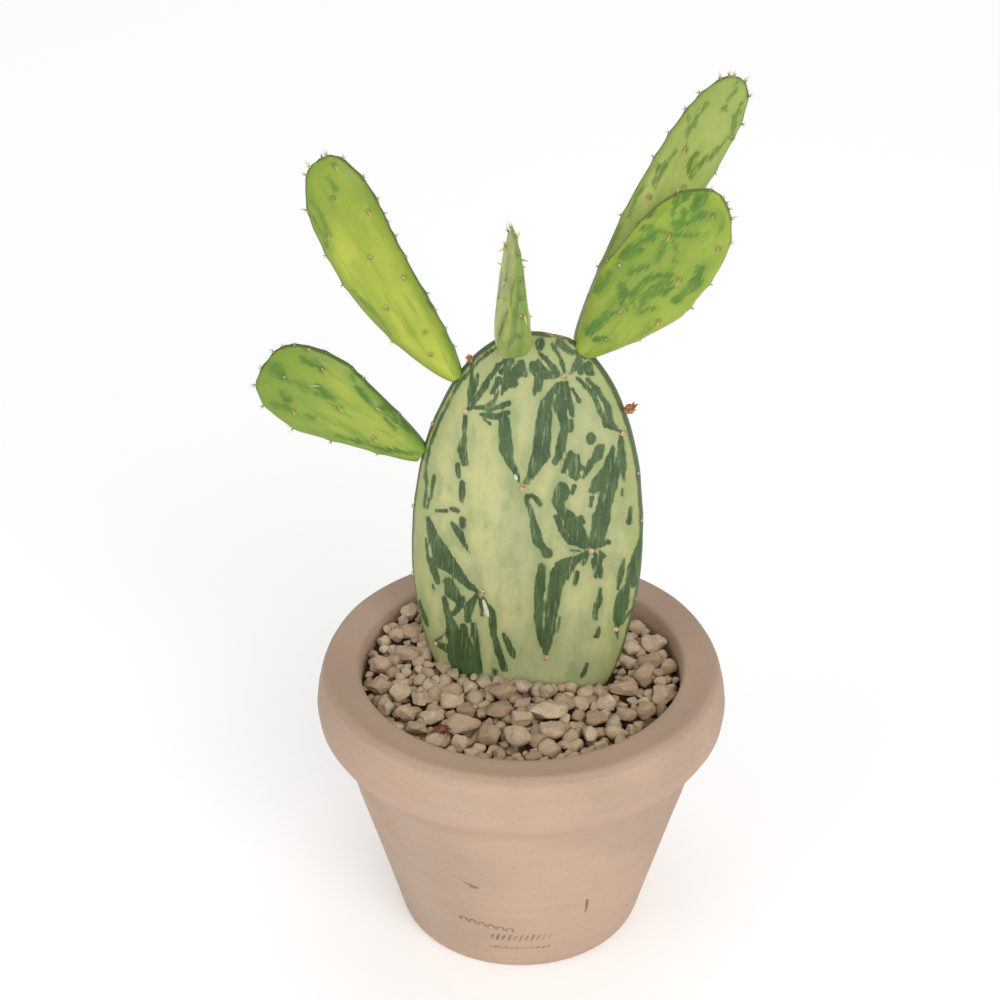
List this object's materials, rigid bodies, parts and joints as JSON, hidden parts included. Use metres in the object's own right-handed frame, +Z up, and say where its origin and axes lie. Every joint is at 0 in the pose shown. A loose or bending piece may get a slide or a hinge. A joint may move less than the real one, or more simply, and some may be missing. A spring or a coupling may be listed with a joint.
{
  "type": "potted paddle cactus",
  "caption": "Variegated paddle cactus: one broad old pad with young pads growing from its margin, rooted in a collared clay pot under pale gravel.",
  "frame": {"origin": "on the floor under the middle of the whole plant's width and depth; the pot's own axis stands 8 mm towards +X of it", "axes": "+Z up; the old pad's patterned face looks towards -Y, turned about 9 degrees so that its +X edge is nearer; two young pads lean towards -X and two towards +X"},
  "size_m": [0.1676, 0.15, 0.3272],
  "materials": {
    "pot_clay": "matte",
    "potting_mix": "matte",
    "gravel": "matte",
    "old_pad": "satin",
    "young_pad": "satin",
    "leaf": "satin",
    "withered_bud": "matte",
    "pumice": "matte"
  },
  "bodies": {
    "root": {"pot": "pot_clay", "potting_mix": "potting_mix", "gravel_bed": "gravel", "mother_pad": "old_pad", "pad_lower_left": "young_pad", "pad_upper_left": "young_pad", "pad_middle": "young_pad", "pad_front_right": "young_pad", "pad_rear_right": "young_pad", "leaf_1": "leaf", "leaf_2": "leaf", "leaf_3": "leaf", "leaf_4": "leaf", "leaf_5": "leaf", "leaf_6": "leaf", "leaf_7": "leaf", "leaf_8": "leaf", "withered_bud_right": "withered_bud", "withered_bud_left": "withered_bud", "withered_bud_fallen": "withered_bud", "pumice_stone_01": "pumice", "pumice_stone_02": "pumice", "pumice_stone_03": "pumice", "pumice_stone_04": "pumice", "pumice_stone_05": "pumice", "pumice_stone_06": "pumice", "pumice_stone_07": "pumice", "pumice_stone_08": "pumice", "pumice_stone_09": "pumice", "pumice_stone_10": "pumice", "pumice_stone_11": "pumice", "pumice_stone_12": "pumice", "pumice_stone_13": "pumice", "pumice_stone_14": "pumice", "pumice_stone_15": "pumice", "pumice_stone_16": "pumice", "pumice_stone_17": "pumice", "pumice_stone_18": "pumice", "pumice_stone_19": "pumice", "pumice_stone_20": "pumice", "pumice_stone_21": "pumice", "pumice_stone_22": "pumice", "pumice_stone_23": "pumice", "pumice_stone_24": "pumice", "pumice_stone_25": "pumice", "pumice_stone_26": "pumice", "pumice_stone_27": "pumice", "pumice_stone_28": "pumice", "pumice_stone_29": "pumice", "pumice_stone_30": "pumice", "pumice_stone_31": "pumice", "pumice_stone_32": "pumice", "pumice_stone_33": "pumice", "pumice_stone_34": "pumice", "pumice_stone_35": "pumice", "pumice_stone_36": "pumice"}
  },
  "joints": []
}
